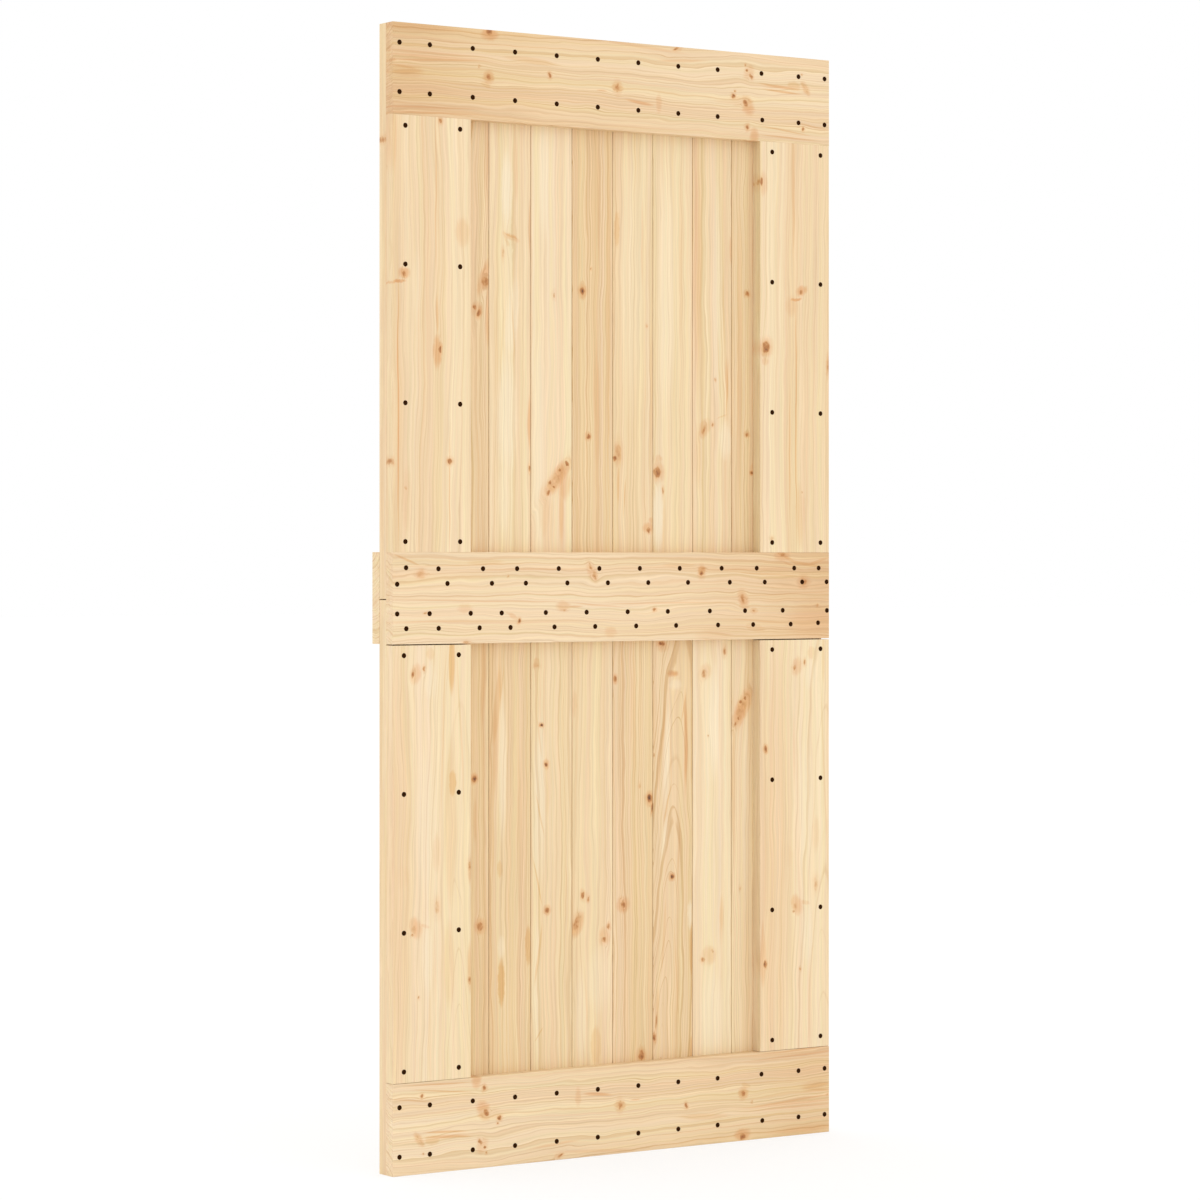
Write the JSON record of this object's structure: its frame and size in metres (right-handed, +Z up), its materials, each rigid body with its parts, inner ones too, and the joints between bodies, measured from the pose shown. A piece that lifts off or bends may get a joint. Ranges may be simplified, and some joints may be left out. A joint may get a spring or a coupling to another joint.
{
  "type": "wooden sliding door leaf",
  "caption": "Pine door leaf for a sliding track: upright tongue and groove planks in two rows, framed at the front by flat rails and stiles, with a rail behind the joint.",
  "frame": {"origin": "middle of the top edge, on the plane where the front boards meet the planks", "axes": "+X to the right as seen from the front, +Y to the back, +Z up"},
  "size_m": [1, 0.072, 2.1],
  "materials": {
    "frame_boards": "planed bare knotty pine, satin",
    "planks": "planed bare knotty pine, satin",
    "screws": "dark brown, satin"
  },
  "bodies": {
    "root": {"bottom_rail": "frame_boards", "front_mid_rail": "frame_boards", "lower_left_stile": "frame_boards", "lower_plank_01": "planks", "lower_plank_02": "planks", "lower_plank_03": "planks", "lower_plank_04": "planks", "lower_plank_05": "planks", "lower_plank_06": "planks", "lower_plank_07": "planks", "lower_plank_08": "planks", "lower_plank_09": "planks", "lower_plank_10": "planks", "lower_plank_11": "planks", "lower_plank_12": "planks", "lower_right_stile": "frame_boards", "rear_mid_rail": "frame_boards", "top_rail": "frame_boards", "upper_left_stile": "frame_boards", "upper_plank_01": "planks", "upper_plank_02": "planks", "upper_plank_03": "planks", "upper_plank_04": "planks", "upper_plank_05": "planks", "upper_plank_06": "planks", "upper_plank_07": "planks", "upper_plank_08": "planks", "upper_plank_09": "planks", "upper_plank_10": "planks", "upper_plank_11": "planks", "upper_plank_12": "planks", "upper_right_stile": "frame_boards"}
  },
  "joints": []
}
